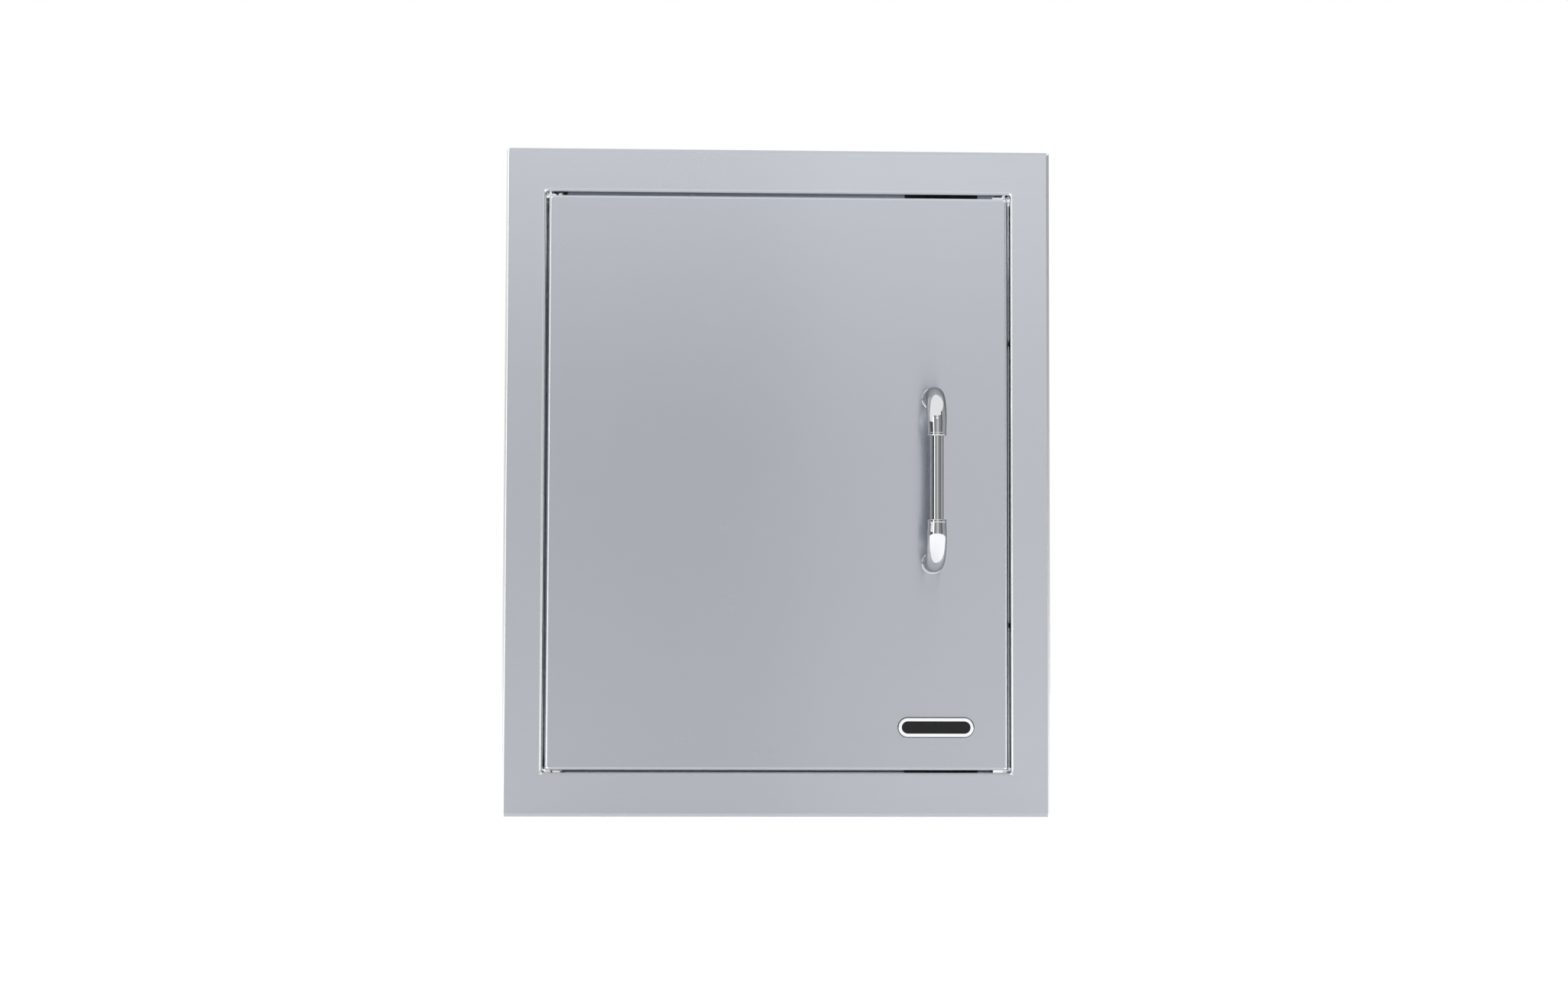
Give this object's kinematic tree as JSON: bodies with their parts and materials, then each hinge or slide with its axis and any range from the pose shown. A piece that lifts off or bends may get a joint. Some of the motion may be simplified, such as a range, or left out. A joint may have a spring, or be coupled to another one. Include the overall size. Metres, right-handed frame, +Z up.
{
  "type": "island access door",
  "caption": "Framed stainless access door for a barbecue island, side hung on pivot pins, with a tubular pull handle and magnetic catches.",
  "frame": {"origin": "centre of the door opening, on the plane where the frame's rim meets the wall", "axes": "+X right seen from the front, +Y back into the island, +Z up"},
  "size_m": [0.4572, 0.1051, 0.5588],
  "materials": {
    "brushed_stainless": "brushed stainless sheet, grain across the door, light satin",
    "polished_chrome": "polished chrome plate",
    "zinc_steel": "bright zinc-plated steel",
    "pin_steel": "ground stainless pin steel",
    "rivet_aluminium": "bright aluminium, domed heads",
    "black_plastic": "moulded black acetal with a fine texture",
    "white_nylon": "natural nylon",
    "black_rubber": "soft black rubber",
    "ferrite": "sintered ferrite, dark grey",
    "sintered_bronze": "oil-filled sintered bronze",
    "gloss_black": "gloss black enamel inlay"
  },
  "bodies": {
    "frame": {"face_frame": "brushed_stainless", "hinge_side_stop": "brushed_stainless", "latch_side_stop": "brushed_stainless", "upper_stop": "brushed_stainless", "lower_stop": "brushed_stainless", "stop_bumpers": "black_rubber", "upper_pivot_plate": "zinc_steel", "upper_bush": "black_plastic", "lower_pivot_plate": "zinc_steel", "lower_pin": "pin_steel", "thrust_washer": "white_nylon", "upper_catch_case": "black_plastic", "lower_catch_case": "black_plastic", "upper_magnet": "ferrite", "lower_magnet": "ferrite", "pole_plates": "zinc_steel", "catch_screws": "zinc_steel"},
    "door": {"door_skin": "brushed_stainless", "door_liner": "brushed_stainless", "liner_rivets": "rivet_aluminium", "hinge_side_channel": "zinc_steel", "latch_side_channel": "zinc_steel", "upper_guide": "white_nylon", "spring_bracket": "zinc_steel", "lower_pivot_block": "zinc_steel", "lower_bush": "sintered_bronze", "upper_strike": "zinc_steel", "lower_strike": "zinc_steel", "strike_screws": "zinc_steel", "upper_elbow": "polished_chrome", "lower_elbow": "polished_chrome", "grip_tube": "polished_chrome", "handle_backing": "zinc_steel", "handle_washers": "zinc_steel", "handle_screws": "zinc_steel", "badge_rim": "polished_chrome", "badge_inlay": "gloss_black", "pin_spring": "pin_steel"},
    "upper_pin": {"upper_pin": "pin_steel", "stop_ring": "zinc_steel", "finger_knob": "black_plastic"}
  },
  "joints": [
    {"name": "door_swing", "type": "hinge", "parent": "frame", "child": "door", "pos_m": [-0.183, 0.0006, 0], "axis": [0, 0, -1], "range_deg": [0, 115]},
    {"name": "upper_pin_retract", "type": "slide", "parent": "door", "child": "upper_pin", "axis": [0, 0, -1], "range_m": [0, 0.009], "stiffness_N_per_m": 350, "springref_m": -0.012, "deforming": ["pin_spring"]}
  ]
}
